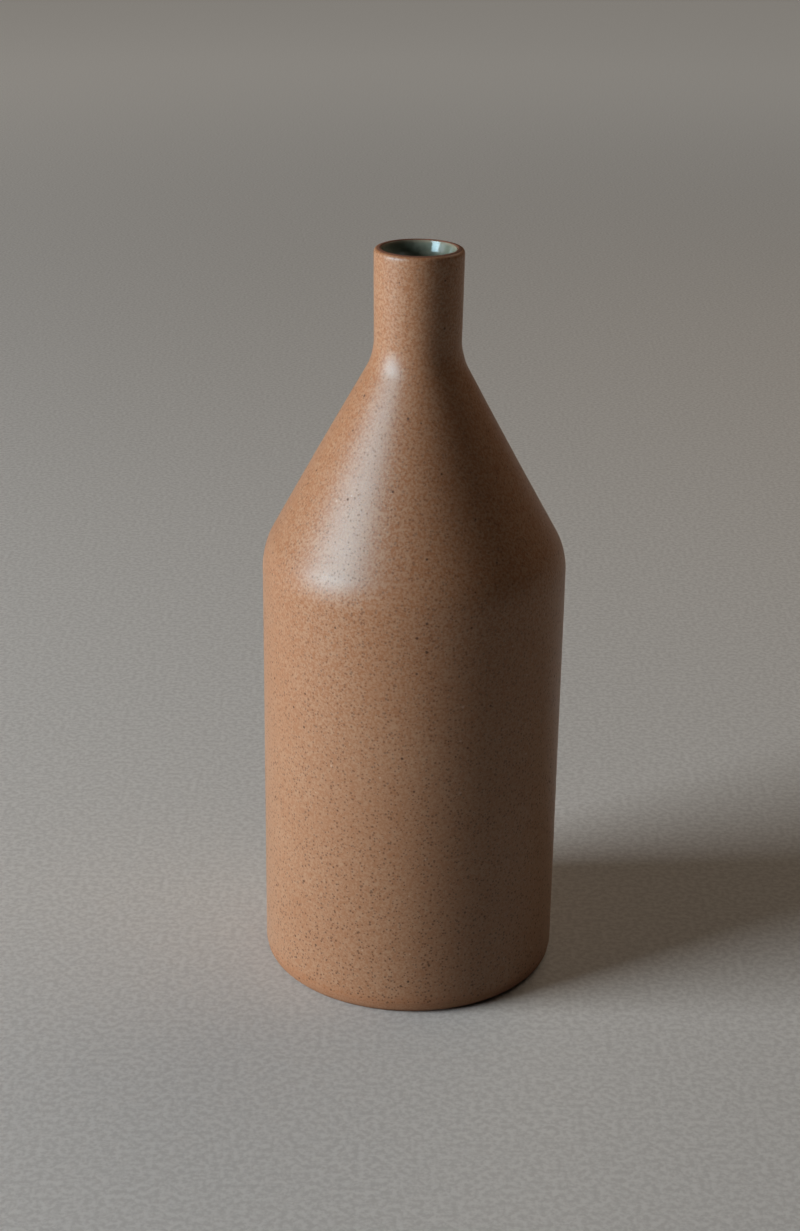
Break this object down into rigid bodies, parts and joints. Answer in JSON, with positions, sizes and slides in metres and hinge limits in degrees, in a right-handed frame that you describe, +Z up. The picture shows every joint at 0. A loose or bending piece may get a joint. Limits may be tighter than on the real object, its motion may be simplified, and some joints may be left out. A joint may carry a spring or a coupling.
{
  "type": "bud vase",
  "caption": "Tall round stoneware bottle vase for a single stem: straight wall, conical shoulder, narrow straight neck, satin speckled coat outside and a glossy liner inside.",
  "frame": {"origin": "on the table, at the centre of the foot", "axes": "+Z up along the axis of the pot, from the foot to the mouth; the pot is round, so +X and +Y are free"},
  "size_m": [0.096, 0.096, 0.238],
  "materials": {
    "stoneware": "bare fired clay",
    "slip": "fired slip",
    "satin_coat": "satin speckled",
    "liner_glaze": "gloss"
  },
  "bodies": {
    "root": {"footed_base": "stoneware", "base_seam": "slip", "body_wall": "stoneware", "shoulder_seam": "slip", "shoulder_cone": "stoneware", "neck_seam": "slip", "neck_collar": "stoneware", "satin_coat": "satin_coat", "liner_glaze": "liner_glaze"}
  },
  "joints": []
}
